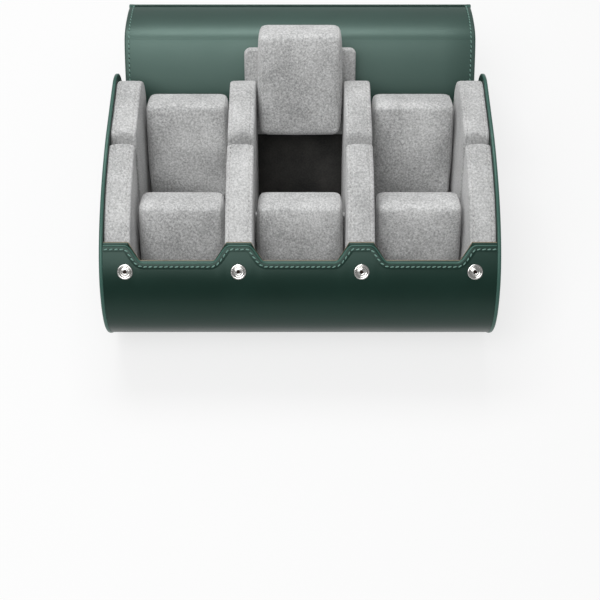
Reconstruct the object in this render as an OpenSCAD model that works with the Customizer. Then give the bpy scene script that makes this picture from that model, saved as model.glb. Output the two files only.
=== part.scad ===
// Travel case for six watches: a leather-covered drum with a fold-back lid,
// padded suede dividers and six removable cushions on winged base plates.
// Millimetres, +Z up, front towards -Y, origin at the middle of the flat base.
// The lid lies open behind the case and the middle back cushion is drawn out.

/* [Case body] */
// Width over both end panels
case_w = 230; // [215:1:245]
// Depth from the front bulge to the back wall
case_d = 160; // [156:1:166]
// Height of the crown above the base
case_h = 98; // [96:1:104]
// Radius of the lower front curve
chin_r = 44; // [40:1:48]
// Distance of the crown from the front
crown_y = 100; // [94:1:106]
// Squareness of the upper front curve, where 2 is an ellipse
brow_n = 2.16; // [2:0.02:2.4]
// Radius of the upper back corner
nape_r = 20; // [16:1:24]
// Fall of the top from the crown to the upper back corner
crown_drop = 2.5; // [1:0.5:5]
// Radius of the lower back corner
heel_r = 8; // [7:1:12]
// Height of the fixed back wall, where the lid starts to fold
wall_h = 53; // [48:1:56]

/* [Leather and board] */
// Thickness of the outer leather
leather_t = 1; // [0.8:0.1:1.4]
// Thickness of the board inside the wrap
board_t = 1.2; // [1:0.1:1.6]
// Thickness of the suede lining
lining_t = 0.6; // [0.4:0.1:0.8]
// Thickness of each end panel with its binding
end_t = 2; // [1.6:0.1:2.4]
// Depth of the front panel below the outside of the shut lid
front_inset = 3.4; // [3.2:0.1:4]
// How far the front fills out again below the lid
front_fill = 2.8; // [0:0.1:2.9]
// Depth of the end panels' rims below the outside of the shut lid
rim_inset = 2.8; // [2.4:0.1:3]

/* [Front edge] */
// Height of the front edge between the tabs
edge_z = 75.4; // [72:0.5:77]
// Height of the tabs that lap over the dividers
tab_z = 80.6; // [78:0.5:82]
// Width of a tab along its top
tab_top = 14; // [12:1:16]
// Width of a tab at its foot
tab_foot = 28; // [24:1:32]

/* [Dividers and cushions] */
// Width of one divider
divider_w = 16; // [14:1:18]
// Clear width of one bay
bay_w = 54.5; // [53:0.5:58]
// Rounding of the padded edges
pad_r = 3; // [2:0.5:4]
// Slope of the cushions and of their slots, from the floor
tilt = 60; // [56:1:64]
// Thickness of a winged base plate
plate_t = 5.4; // [4:0.2:6]
// Width of a base plate over its wings
plate_w = 70; // [66:1:70]
// Running gap on each face of a plate in its slot
slot_gap = 0.5; // [0.4:0.1:1]
// Width of a cushion over its corners
cushion_w = 52; // [49:0.5:52.5]
// Length of a cushion along its slope
cushion_len = 67; // [62:1:68]
// Fall of a cushion's top edge down the slope, from the top of its row
cushion_fall = 5; // [5:0.5:8]
// Distance from the middle of the plate to the crown of the cushion
cushion_t = 28; // [24:0.5:29]
// How far the middle back cushion is drawn out
lift = 44; // [0:1:60]

/* [Lid] */
// Thickness of the folding strips
strip_t = 2.4; // [2:0.1:2.6]
// Height of the lid's front edge when it is shut
lid_edge_z = 64.5; // [60:0.5:68]
// Radius of the lid's front corners
lid_corner_r = 10; // [6:1:14]

/* [Snap fasteners] */
// Distance of the inner snaps from the middle
snap_inner_x = 35.3; // [30:0.5:40]
// Distance of the outer snaps from the middle
snap_outer_x = 100.3; // [95:0.5:104]
// Height of the snaps on the front panel
snap_z = 72.3; // [70:0.1:74]
// Diameter of a snap
snap_d = 9; // [8:0.5:10]

/* [Hidden] */
BAYS = ["left", "middle", "right"];
$fn = 48;

green = [0.07, 0.20, 0.17];
edge_green = [0.25, 0.40, 0.36];
suede = [0.66, 0.67, 0.67];
dark_lining = [0.16, 0.16, 0.16];
board_brown = [0.55, 0.47, 0.36];
foam = [0.85, 0.80, 0.62];
nickel = [0.80, 0.80, 0.80];

eps = 0.01;
// Longer than any wall that a hole goes through
through = 12;
back_inset = 0.5;
inner_w = case_w - 2 * end_t;
side_gap = 0.5;
lid_w = inner_w - 2 * side_gap;
pitch = bay_w + divider_w;
skin_t = leather_t + board_t + lining_t;
tray_t = 2.8;
floor_z = leather_t + board_t + tray_t;

// ---- Side profile -------------------------------------------------------

// Points on a quarter of a superellipse about c, from one angle to another
function quarter(c, a, b, n, from, to, steps) = [for (i = [0:steps])
    let (t = from + (to - from) * i / steps)
    [c.x + a * sign(cos(t)) * pow(abs(cos(t)), 2 / n),
     c.y + b * sign(sin(t)) * pow(abs(sin(t)), 2 / n)]];

nape_c = [case_d - nape_r, case_h - crown_drop - nape_r];
top_slope = atan2(crown_drop, nape_c.x - crown_y);
// The upper front curve stops just short of the point where the chin starts
brow_end = 176;
// Heights between which the front panel draws in, to pass under the lid
fill_from = 34;
fill_to = 64;

function eased(t) = let (u = min(1, max(0, t))) u * u * (3 - 2 * u);

// Points of a front curve, moved out where the front fills out below the lid
function filled(points, front, fill) = fill == 0 ? points : [for (p = points)
    p - [fill * (1 - eased((p.y - fill_from) / (fill_to - fill_from)))
        * max(0, chin_r - p.x) / (chin_r - front), 0]];

// Side outline of the case, drawn in by the four insets. x runs back from
// the front bulge and y is the height. The lid's outline has no fill.
function outline(front, top, bottom, back, steps = 20, fill = front_fill) = concat(
    filled(quarter([chin_r, chin_r], chin_r - front, chin_r - bottom, 2, 180, 270, steps / 2),
        front, fill),
    quarter([case_d - heel_r, heel_r], heel_r - back, heel_r - bottom, 2, 270, 360, 4),
    quarter(nape_c, nape_r - back, nape_r - top, 2, 0, 90 - top_slope, steps / 2),
    filled(quarter([crown_y, chin_r], crown_y - front, case_h - chin_r - top,
        brow_n, 90, brow_end, steps), front, fill));

// Side outline of an end panel, drawn in evenly from its rim
function panel_outline(inset) = outline(rim_inset + inset, rim_inset + inset, inset, inset);

// Height above the chin and depth behind the front, on the upper front curve
function brow_a(inset) = crown_y - inset;
function brow_b(inset) = case_h - chin_r - inset;
function brow_y(z, inset) =
    crown_y - brow_a(inset) * pow(1 - pow((z - chin_r) / brow_b(inset), brow_n), 1 / brow_n);
function brow_lean(z, inset) = let (
    u = (crown_y - brow_y(z, inset)) / brow_a(inset),
    v = (z - chin_r) / brow_b(inset))
    atan2(pow(u, brow_n - 1) / brow_a(inset), pow(v, brow_n - 1) / brow_b(inset));

// A side outline drawn out along X, about the middle
module across(width) {
    translate([-width / 2, -case_d / 2, 0])
        rotate([90, 0, 90])
            linear_extrude(width) children();
}

// The layer of the wrap that starts at depth t
module wrap_layer(t, thick) {
    across(inner_w) difference() {
        polygon(outline(front_inset + t, front_inset + t, t, back_inset + t));
        polygon(outline(front_inset + t + thick, front_inset + t + thick,
            t + thick, back_inset + t + thick));
    }
}

// The cuts above the front edge and above the back wall meet just behind the crown
cut_y = crown_y - case_d / 2 + 10;
cut_overlap = 1;

// Everything above the front edge, with a tab left standing at each divider
module above_front_edge() {
    reach = case_w;
    tops = [for (i = [-1.5:1:1.5]) i * pitch];
    translate([0, cut_y, 0]) rotate([90, 0, 0])
        linear_extrude(case_d) difference() {
            translate([-reach / 2, edge_z]) square([reach, case_h]);
            for (x = tops) {
                far = abs(x) > pitch ? sign(x) * divider_w : 0;
                polygon([
                    [x - tab_foot / 2 + min(far, 0), edge_z - eps],
                    [x - tab_top / 2 + min(far, 0), tab_z],
                    [x + tab_top / 2 + max(far, 0), tab_z],
                    [x + tab_foot / 2 + max(far, 0), edge_z - eps]]);
            }
        }
}

module above_back_wall() {
    translate([-case_w / 2, cut_y - cut_overlap, wall_h]) cube([case_w, case_d, case_h]);
}

// Places its children on the front panel at each snap, with +Z pointing out
module at_snaps() {
    for (x = [-snap_outer_x, -snap_inner_x, snap_inner_x, snap_outer_x])
        translate([x, brow_y(snap_z, front_inset) - case_d / 2, snap_z])
            rotate([brow_lean(snap_z, front_inset), 0, 0]) children();
}

rivet_d = 2.4;
rivet_head_d = 6;
rivet_head_t = 0.5;
// Clear of the board, whose inner face curves towards the edge of a flat head
head_clear = 0.1;
head_room_d = rivet_head_d + 0.4;

// How far the front edge falls for each millimetre of depth, as it is cut square to the panel
edge_fall = cos(brow_lean(edge_z, front_inset));

// A layer of the wrap, cut to the front edge and the back wall, with a hole at each snap
module wrap_piece(t, thick, hole_d = rivet_d) {
    difference() {
        wrap_layer(t, thick);
        translate([0, 0, -edge_fall * t]) above_front_edge();
        above_back_wall();
        at_snaps() cylinder(d = hole_d, h = through, center = true);
    }
}

module outer_leather() {
    color(green) wrap_piece(0, leather_t);
}

module shell_board() {
    color(board_brown) wrap_piece(leather_t, board_t);
}

// Suede on the inside of the front panel, down to the tray
module front_lining() {
    color(suede) intersection() {
        wrap_piece(leather_t + board_t, lining_t, head_room_d);
        translate([-case_w / 2, -case_d / 2, floor_z]) cube([case_w, crown_y / 2, case_h]);
    }
}

// Dark lining on the inside of the back wall, down to the tray
module back_lining() {
    color(dark_lining) intersection() {
        wrap_piece(leather_t + board_t, lining_t);
        translate([-case_w / 2, crown_y - case_d / 2, floor_z]) cube([case_w, case_d, case_h]);
    }
}

// Flat lined board that closes the bottom of the bays
module tray_floor() {
    under = leather_t + board_t;
    color(dark_lining) intersection() {
        across(inner_w) polygon(outline(front_inset + under, front_inset + under,
            under, back_inset + under));
        translate([-case_w / 2, -case_d / 2, 0]) cube([case_w, case_d, floor_z]);
    }
}

// ---- End panels ---------------------------------------------------------

panel_t = 1.4;
binding_lip = 0.6;
binding_w = 2.4;

module end_panel(side) {
    color(green) translate([side * (inner_w + panel_t) / 2, 0, 0])
        across(panel_t) polygon(panel_outline(binding_lip));
}

// Leather strip folded over the rim of an end panel
module edge_binding(side) {
    color(edge_green) difference() {
        translate([side * (inner_w + end_t) / 2, 0, 0]) across(end_t) polygon(panel_outline(0));
        translate([side * (inner_w + panel_t) / 2 - side * eps, 0, 0]) across(panel_t + 2 * eps)
            polygon(panel_outline(binding_lip));
        translate([side * (inner_w + end_t) / 2, 0, 0]) across(3 * end_t)
            polygon(panel_outline(binding_w));
    }
}

// ---- Slots and cushion places ------------------------------------------

// A point on the middle of each row's plates, at the top of the row
front_row = [85.2, 71];
back_row = [159.2, 75.2];
slot_t = plate_t + 2 * slot_gap;

// Turns children drawn with +Y up the slope and +X out of the cushion's face
module on_slope(row) {
    translate(row) rotate(tilt - 90) mirror([1, 0]) children();
}

// Half plane ahead of a row's slot, or behind it
module slot_side(row, ahead) {
    far = 2 * case_d;
    on_slope(row) translate([ahead ? slot_t / 2 : -slot_t / 2 - far, -far / 2]) square([far, far]);
}

// Rings of points joined into one closed solid. Each ring runs anticlockwise
// seen from the last one, so the faces run clockwise seen from outside.
module skin(rings) {
    n = len(rings[0]);
    last = len(rings) - 1;
    polyhedron(
        points = [for (ring = rings) each ring],
        faces = concat(
            [[for (i = [0:n - 1]) i]],
            [for (r = [0:last - 1]) for (i = [0:n - 1]) let (j = (i + 1) % n)
                each [[r * n + j, r * n + i, (r + 1) * n + j],
                      [(r + 1) * n + j, r * n + i, (r + 1) * n + i]]],
            [[for (i = [n - 1:-1:0]) last * n + i]]),
        convexity = 4);
}

// ---- Dividers -----------------------------------------------------------

// Room between the lining, or a rivet head, and the front of a divider
divider_gap = 0.2;
divider_inset = front_inset + skin_t + divider_gap;
// Depth behind the back outline, inside the straight fold strips of the shut lid
divider_back = 7;
// Rise of a divider's top behind the front edge, and the depths where it starts and ends
divider_rise = 1.4;
rise_from = 34;
rise_to = 60;
outer_divider_w = (inner_w - 3 * bay_w - 2 * divider_w) / 2;

// A divider's outline point, raised behind the front edge
function risen(p) = p.y < floor_z + 1 ? p
    : [p.x, p.y + divider_rise * eased((p.x - rise_from) / (rise_to - rise_from))];

// Padded block across x0 to x1, rounded along both faces
module padded_block(x0, x1) {
    steps = 3;
    // How far in from the face each slice lies, and how far its outline is drawn in
    slices = [for (i = [0:steps]) let (t = 90 * i / steps)
        [pad_r * (1 - cos(t)), pad_r * (1 - sin(t))]];
    left = [for (s = slices) [x0 + s.x, s.y]];
    right = [for (i = [steps:-1:0]) [x1 - slices[i].x, slices[i].y]];
    skin([for (s = concat(left, right))
        [for (q = outline(divider_inset + s.y / 2, divider_inset + s.y, floor_z,
                divider_back + s.y / 2, 16)) let (p = risen(q))
            [s.x, p.x - case_d / 2, p.y]]]);
}

module divider_span(i) {
    x0 = i == 1 ? -inner_w / 2 : -inner_w / 2 + outer_divider_w + bay_w + (i - 2) * pitch;
    w = (i == 1 || i == 4) ? outer_divider_w : divider_w;
    intersection() {
        padded_block(x0, x0 + w);
        across(case_w) children();
    }
}

module divider_front(i) {
    color(suede) divider_span(i) slot_side(front_row, true);
}

module divider_back(i) {
    color(suede) divider_span(i) intersection() {
        slot_side(front_row, false);
        slot_side(back_row, true);
    }
}

rest_drop = 6;

// Sloping pad behind the back row, which the plates lean on
module back_rest() {
    color(dark_lining) across(inner_w) intersection() {
        polygon(outline(front_inset + skin_t, front_inset + skin_t, floor_z, back_inset + skin_t));
        slot_side(back_row, false);
        square([case_d, wall_h - rest_drop]);
    }
}

// ---- Cushions -----------------------------------------------------------

pillow_points = 44;
pillow_n = 10;
side_draw = 0.6;
// Distance out from the plate and draw-in of the edge, from the back to the crown
pillow_steps = [[0, 8], [2, 4.2], [5, 1.6], [9, 0.2], [14, 0], [18, 0.2], [22, 1.2], [23, 3]];
pillow_edge = pillow_steps[len(pillow_steps) - 1];
crown_rise = cushion_t - plate_t / 2 - pillow_edge.x;

// One ring of a cushion. The sides pull in between the corners.
function pillow_ring(out, draw, grow) = [for (i = [0:pillow_points - 1])
    let (t = 360 * i / pillow_points,
        c = pow(abs(cos(t)), 2 / pillow_n), s = pow(abs(sin(t)), 2 / pillow_n),
        pull = side_draw * (1 - pow(sin(2 * t), 2)))
    [sign(cos(t)) * ((cushion_w / 2 - draw - pull * c) * c) * grow,
     sign(sin(t)) * ((cushion_len / 2 - draw - pull * s) * s) * grow - cushion_len / 2 - cushion_fall,
     out]];

// Closed cushion with its flat back on the plate and its crowned face up
module pillow() {
    crown = [for (g = [0.86, 0.62, 0.34, 0.08])
        pillow_ring(pillow_edge.x + crown_rise * (1 - g * g), pillow_edge.y, g)];
    skin(concat([for (s = pillow_steps) pillow_ring(s.x, s.y, 1)], crown));
}

core_size = [cushion_w - 10, cushion_len - 16, 14];
core_rise = 4;

// Foam inside a cushion
module foam_block() {
    translate([-core_size.x / 2, -cushion_fall - (cushion_len + core_size.y) / 2, core_rise])
        cube(core_size);
}

// Puts a flat cushion, lying with its face up, on its slope in the case
module in_bay(row, bay, out = 0) {
    translate([(bay - 1) * pitch, row.x - case_d / 2 + out * cos(tilt), row.y + out * sin(tilt)])
        rotate([tilt, 0, 0]) children();
}

function drawn_out(row, bay) = row == back_row && bay == 1 ? lift : 0;

module cushion(row, bay) {
    color(suede) in_bay(row, bay, drawn_out(row, bay))
        translate([0, 0, plate_t / 2]) difference() {
            pillow();
            foam_block();
        }
}

module core(row, bay) {
    color(foam) in_bay(row, bay, drawn_out(row, bay)) translate([0, 0, plate_t / 2]) foam_block();
}

// Top end of a plate, down the slope from the top of its row
plate_top = -22.3;
plate_corner_r = 4;
// A plate stops just above the floor of the tray
plate_foot_gap = 0.3;
function plate_foot(row) =
    (floor_z + plate_foot_gap + plate_t / 2 * cos(tilt) - row.y) / sin(tilt);

// Flat winged plate with rounded corners
module plate(row, bay) {
    r = plate_corner_r;
    foot = plate_foot(row);
    len = plate_top - foot;
    color(suede) in_bay(row, bay, drawn_out(row, bay))
        translate([0, foot, -plate_t / 2]) linear_extrude(plate_t) union() {
            translate([-plate_w / 2 + r, 0]) square([plate_w - 2 * r, len]);
            translate([-plate_w / 2, r]) square([plate_w, len - 2 * r]);
            for (x = [-1, 1], y = [r, len - r])
                translate([x * (plate_w / 2 - r), y]) circle(r);
        }
}

// ---- Folding back of the lid -------------------------------------------

fold_clear = 0.4;
fold_inset = fold_clear + strip_t / 2;
fold_r = nape_r - fold_inset;
// Rise of the first fold line above the back wall
fold_rise = 1;
// Where the second fold line lies around the upper back corner
turn = 44;
// Length of the strip on the flat top
top_strip = 30;
// Shut: the fold lines climb the back wall, turn the corner and run along the top
fold_end = nape_c + fold_r * [sin(top_slope), cos(top_slope)];
shut = [
    [case_d - fold_inset, wall_h + fold_rise],
    nape_c + fold_r * [cos(turn), sin(turn)],
    fold_end,
    fold_end + top_strip * [-cos(top_slope), sin(top_slope)]];
strips = len(shut) - 1;
strip_len = [for (i = [0:strips - 1]) norm(shut[i + 1] - shut[i])];
// Open: direction of each strip, in degrees up from straight back, and then of the lid
open_dir = [48, 30, -15];
lid_shut_dir = 180;
lid_open_dir = -62;
function open_at(i) = i == 0 ? shut[0]
    : open_at(i - 1) + strip_len[i - 1] * [cos(open_dir[i - 1]), sin(open_dir[i - 1])];
bevel = 0.7;
fold_gap = 0.05;

// One strip of the fold, with pointed edges that leave room to bend either way
module fold_strip(i) {
    l = strip_len[i - 1];
    h = strip_t / 2;
    color(green) across(lid_w) translate(open_at(i - 1)) rotate(open_dir[i - 1])
        polygon([[fold_gap, 0], [bevel, h], [l - bevel, h],
            [l - fold_gap, 0], [l - bevel, -h], [bevel, -h]]);
}

// ---- Lid ----------------------------------------------------------------

lid_inset = 0.2;
// Room at the last fold line, where the lid bends sharply back
lid_clear = 0.9;
lid_board_t = 0.9;
lid_lining_t = 0.7;
board_margin = 5;

// Swings what is drawn in the shut place back to the open one
module opened() {
    from = shut[strips];
    to = open_at(strips);
    translate([0, to.x - case_d / 2, to.y]) rotate([lid_open_dir - lid_shut_dir, 0, 0])
        translate([0, case_d / 2 - from.x, -from.y]) children();
}

// Outline of the lid seen from the front: its lower edge and round corners
module lid_front(margin) {
    w = lid_w - 2 * margin;
    r = lid_corner_r;
    low = lid_edge_z + margin;
    translate([-w / 2 + r, low]) square([w - 2 * r, case_h]);
    translate([-w / 2, low + r]) square([w, case_h]);
    for (x = [-1, 1]) translate([x * (w / 2 - r), low + r]) circle(r);
}

// One layer of the lid in its shut place, from the last fold line to the front edge
module lid_layer(t, thick, margin) {
    start = shut[strips].x - lid_clear - margin;
    a = lid_inset + t;
    b = a + thick;
    intersection() {
        across(lid_w) intersection() {
            difference() {
                polygon(outline(a, a, a, a, fill = 0));
                polygon(outline(b, b, b, b, fill = 0));
            }
            square([start, 2 * case_h]);
        }
        translate([0, case_d / 2, 0]) rotate([90, 0, 0]) linear_extrude(case_d) lid_front(margin);
    }
}

socket_d = 9.4;
// Hole in the board and lining of the lid around a socket
socket_room_d = 12;

module lid_piece(t, thick, margin, hole_d) {
    opened() difference() {
        lid_layer(t, thick, margin);
        at_snaps() cylinder(d = hole_d, h = through, center = true);
    }
}

module lid_leather() {
    color(green) lid_piece(0, leather_t, 0, rivet_d);
}

module lid_board() {
    color(board_brown) lid_piece(leather_t, lid_board_t, board_margin, socket_room_d);
}

module lid_lining() {
    color(green) lid_piece(leather_t + lid_board_t, lid_lining_t, 0, socket_room_d);
}

// ---- Snap fasteners -----------------------------------------------------

flange_t = 0.4;
post_d = 3.6;
post_h = 1;
post_taper = 0.2;
nose_r = 0.8;
nose_deep = 0.6;
// Inner face of the board, where the stud's stem meets its rivet head
stem_reach = leather_t + board_t + head_clear;

// Round stud with a raised post and a hollow nose
module snap_studs() {
    color(nickel) at_snaps() {
        translate([0, 0, -stem_reach]) cylinder(d = rivet_d, h = stem_reach);
        rotate_extrude() polygon([[0, 0], [snap_d / 2, 0], [snap_d / 2, flange_t],
            [post_d / 2, flange_t], [post_d / 2 - post_taper, post_h], [nose_r, post_h],
            [nose_r - post_taper, post_h - nose_deep], [0, post_h - nose_deep]]);
    }
}

// Flat heads that hold the studs, sunk in the lining of the front panel
module stud_rivets() {
    color(nickel) at_snaps() translate([0, 0, -stem_reach - rivet_head_t])
        cylinder(d = rivet_head_d, h = rivet_head_t);
}

// Height of the lid's outer face above the front panel
lid_top = front_inset - lid_inset;
cap_h = 1.7;
cap_rim = 0.5;
cap_gap = 0.02;
socket_h = 1.2;
socket_bore_d = 6.6;
socket_bore_h = 0.85;
// Room between the flat sockets and the curved leather
socket_clear = 0.35;

// Low domes on the outside of the lid, with a stem through the leather
module snap_caps() {
    steps = 6;
    stem = leather_t + socket_clear;
    dome = [for (i = [0:steps]) let (t = 90 * i / steps)
        [snap_d / 2 * cos(t), cap_rim + (cap_h - cap_rim) * sin(t)]];
    color(nickel) opened() at_snaps() translate([0, 0, lid_top]) {
        rotate_extrude() polygon(concat([[0, cap_gap], [snap_d / 2 - 0.3, cap_gap]], dome));
        translate([0, 0, -stem]) cylinder(d = rivet_d, h = stem + 0.1);
    }
}

// Cups on the inside of the lid that take the studs
module snap_sockets() {
    color(nickel) opened() at_snaps()
        translate([0, 0, lid_top - leather_t - socket_clear - socket_h]) difference() {
            cylinder(d = socket_d, h = socket_h);
            translate([0, 0, -eps]) cylinder(d = socket_bore_d, h = socket_bore_h + eps);
        }
}

outer_leather();
shell_board();
front_lining();
back_lining();
tray_floor();
back_rest();
end_panel(-1);  // end_panel_left
end_panel(1);  // end_panel_right
edge_binding(-1);  // edge_binding_left
edge_binding(1);  // edge_binding_right
snap_studs();
stud_rivets();
lid_leather();
lid_board();
lid_lining();
snap_caps();
snap_sockets();
for (i = [1:4]) {
    divider_front(i);
    divider_back(i);
}
for (i = [1:strips])
    fold_strip(i);
for (bay = [0:2]) {
    cushion(front_row, bay);
    cushion(back_row, bay);
    core(front_row, bay);
    core(back_row, bay);
    plate(front_row, bay);
    plate(back_row, bay);
}
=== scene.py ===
# %% [markdown]
# # A leather travel case for six watches
#
# The construction comes in as a fixed frame, already at its real size. This notebook
# dresses it: green leather over the curved body, grey suede inside, stitching along
# the edges and bright snap fasteners. Nothing here moves or resizes the frame.

# %% Load the frame
import math

import bmesh
import bpy
import numpy as np
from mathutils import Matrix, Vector, noise


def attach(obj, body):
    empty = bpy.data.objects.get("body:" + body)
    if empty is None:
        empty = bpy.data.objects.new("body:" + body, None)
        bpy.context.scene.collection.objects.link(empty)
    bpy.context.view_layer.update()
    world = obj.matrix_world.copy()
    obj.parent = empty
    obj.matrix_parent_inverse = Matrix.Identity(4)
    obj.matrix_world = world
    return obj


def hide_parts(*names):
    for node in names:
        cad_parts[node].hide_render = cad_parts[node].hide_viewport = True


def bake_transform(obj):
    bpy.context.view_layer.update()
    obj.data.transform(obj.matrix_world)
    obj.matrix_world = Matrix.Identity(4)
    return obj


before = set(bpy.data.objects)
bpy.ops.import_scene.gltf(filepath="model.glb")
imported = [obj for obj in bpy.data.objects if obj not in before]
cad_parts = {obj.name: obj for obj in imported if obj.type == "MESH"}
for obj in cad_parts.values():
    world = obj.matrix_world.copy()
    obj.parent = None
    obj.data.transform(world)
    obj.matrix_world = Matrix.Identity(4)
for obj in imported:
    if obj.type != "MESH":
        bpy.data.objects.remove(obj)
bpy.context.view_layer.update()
MM = 0.001

# %% [markdown]
# ## Camera
#
# The camera stands in front and above, and looks down on the open case. It is turned
# down a little further than the case needs, which puts the case in the upper half of
# a square picture, so no lens shift is needed.

# %% Place the camera
CAMERA_PLACE = Vector((0, -424.6, 633.1)) * MM
CAMERA_PITCH = math.radians(58.55)
LENS = 69.9

camera_data = bpy.data.cameras.new("camera")
camera_data.lens = LENS
camera_data.sensor_width = 36
camera = bpy.data.objects.new("camera", camera_data)
camera.location = CAMERA_PLACE
camera.rotation_euler = (math.pi / 2 - CAMERA_PITCH, 0, 0)
bpy.context.scene.collection.objects.link(camera)
bpy.context.scene.camera = camera
print("camera at", [round(v, 3) for v in CAMERA_PLACE], "pitch", round(math.degrees(CAMERA_PITCH), 2))

# %% [markdown]
# ## Shader helpers
#
# A material is easier to read as arithmetic than as a tangle of nodes. `Socket` wraps
# one output and turns `a * b + c` into Math nodes. `Finish` holds a material, and its
# one method `node` adds any other node: first its settings, then its inputs.

# %% Wrap sockets in Python operators
class Socket:
    def __init__(self, finish, output):
        self.finish, self.output = finish, output

    def math(self, operation, other=None, swap=False):
        values = [self] if other is None else ([other, self] if swap else [self, other])
        return self.finish.node(
            "ShaderNodeMath", {"operation": operation}, dict(enumerate(values)))

    def __add__(self, other):
        return self.math("ADD", other)

    def __mul__(self, other):
        return self.math("MULTIPLY", other)

    def __sub__(self, other):
        return self.math("SUBTRACT", other)

    def __rsub__(self, other):
        return self.math("SUBTRACT", other, swap=True)

    __radd__, __rmul__ = __add__, __mul__


class Finish:
    def __init__(self, name):
        self.material = bpy.data.materials.new(name)
        self.material.use_nodes = True
        self.tree = self.material.node_tree
        self.shader = self.tree.nodes["Principled BSDF"]

    def node(self, kind, settings=None, inputs=None, output=0):
        made = self.tree.nodes.new(kind)
        for key, value in (settings or {}).items():
            setattr(made, key, value)
        for key, value in (inputs or {}).items():
            self.feed(made.inputs[key], value)
        return Socket(self, made.outputs[output])

    def feed(self, socket, value):
        if isinstance(value, Socket):
            self.tree.links.new(value.output, socket)
        else:
            socket.default_value = value

    def set(self, **values):
        for name, value in values.items():
            self.feed(self.shader.inputs[name.replace("_", " ")], value)
        return self

    def place(self, scale):
        """Object coordinates in millimetres, times a scale for each axis."""
        where = self.node("ShaderNodeTexCoord", output=3)
        return self.node("ShaderNodeVectorMath", {"operation": "MULTIPLY"},
                         {0: where, 1: [1000 * s for s in scale]})

    def cloud(self, at, scale, detail=4.0, rough=0.5):
        return self.node("ShaderNodeTexNoise", None,
                         {"Vector": at, "Scale": scale, "Detail": detail, "Roughness": rough})

    def bump(self, height, strength, distance):
        return self.node("ShaderNodeBump", None,
                         {"Height": height, "Strength": strength, "Distance": distance * MM})

    def mix(self, factor, dark, light):
        return self.node("ShaderNodeMix", {"data_type": "RGBA"},
                         {0: factor, 6: dark, 7: light}, output=2)


print("shader helpers ready")

# %% [markdown]
# ## Leather
#
# The outer leather is a smooth, finished hide in bottle green. Close to, it has fine
# closed pores; from further off its colour clouds gently, and its gloss gives a soft
# band of light along each curve. A picture of real leather could be wrapped round the
# pieces, but noise measured in the object's own millimetres needs no unwrapping.

# %% Mix the leathers
def leather(name, deep, pale, rough=0.36, gloss=0.40, index=1.5):
    finish = Finish(name)
    at = finish.place((1, 1, 1))
    clouds = finish.cloud(at, 0.035, 3.0)
    pores = finish.node("ShaderNodeTexVoronoi", None, {"Vector": at, "Scale": 1.5})
    fine = finish.cloud(at, 1.1, 6.0, 0.6)
    finish.set(
        Base_Color=finish.mix(clouds, (*deep, 1), (*pale, 1)),
        Roughness=fine * 0.12 + clouds * 0.08 + (rough - 0.10),
        Normal=finish.bump(pores * 0.5 + fine * 0.5, 0.14, 0.10),
        Specular_IOR_Level=gloss, IOR=index, Specular_Tint=(0.72, 1.0, 0.90, 1))
    return finish.material


case_leather = leather("case_leather", (0.0022, 0.015, 0.0098), (0.0046, 0.024, 0.017))
# The lid and fold are the same hide as the case, given a paler copy: painted light, so the flap reads
# brighter than the front.
lid_leather = leather("lid_leather", (0.0040, 0.022, 0.0160), (0.0080, 0.034, 0.026), 0.50, 1.0, 1.62)
# Bound rims and turned edges get a much paler copy of the hide: painted highlight along their rolled
# edges.
edge_leather = leather("edge_leather", (0.030, 0.085, 0.068), (0.050, 0.120, 0.098), 0.38, 0.5)
print("leathers:", case_leather.name, lid_leather.name, edge_leather.name)

# %% [markdown]
# ## Thread
#
# The seams are sewn with twisted thread, paler than the hide, and each needle leaves a
# small dimple, coloured dark as painted shade. The strands could be modelled one by one,
# but at this size a band of waves across the thread looks the same.

# %% Spin the threads
def thread(name, dark, light):
    finish = Finish(name)
    # The twist's darker bands are painted shade in the grooves between strands; the waves also bump the
    # thread.
    twist = finish.node("ShaderNodeTexWave", {"bands_direction": "DIAGONAL"},
                        {"Vector": finish.place((1, 1, 1)), "Scale": 1.6, "Distortion": 1.5})
    finish.set(Base_Color=finish.mix(twist, (*dark, 1), (*light, 1)), Roughness=0.62,
               Normal=finish.bump(twist, 0.5, 0.08))
    return finish.material


thread_green = thread("thread_green", (0.12, 0.24, 0.20), (0.22, 0.38, 0.33))
thread_grey = thread("thread_grey", (0.52, 0.52, 0.51), (0.74, 0.74, 0.73))
# Near-black colours for the needle holes: painted shade in the holes.
needle_shade_green = thread("needle_shade_green", (0.004, 0.012, 0.009), (0.008, 0.020, 0.016))
needle_shade_grey = thread("needle_shade_grey", (0.06, 0.06, 0.06), (0.11, 0.11, 0.11))
print("threads:", thread_green.name, thread_grey.name)

# %% [markdown]
# ## Suede and lining
#
# Suede is a mat of short fibres. It scatters light instead of shining, and where it
# has been stroked the other way it turns lighter or darker, so the colour has a fine
# speckle over broad soft patches, and sheen at glancing angles. Hair would give real
# fibres, but from here they are far too fine to be told apart.

# %% Mix the suedes
def suede(name, dark, light, patch=0.35):
    finish = Finish(name)
    at = finish.place((1, 1, 1))
    speckle = finish.cloud(at, 0.85, 3.0, 0.75)
    brushed = finish.cloud(at, 0.045, 2.0)
    shade = speckle * (1 - patch) + brushed * patch
    contrast = finish.node("ShaderNodeMapRange", None,
                           {"Value": shade, "From Min": 0.37, "From Max": 0.63})
    finish.set(
        Base_Color=finish.mix(contrast, (*dark, 1), (*light, 1)),
        Roughness=0.96,
        Normal=finish.bump(speckle, 0.55, 0.35),
        Sheen_Weight=0.35, Sheen_Roughness=0.5)
    return finish.material


divider_suede = suede("divider_suede", (0.30, 0.303, 0.303), (0.68, 0.683, 0.68), 0.30)
cushion_suede = suede("cushion_suede", (0.29, 0.293, 0.294), (0.74, 0.743, 0.74), 0.25)
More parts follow.
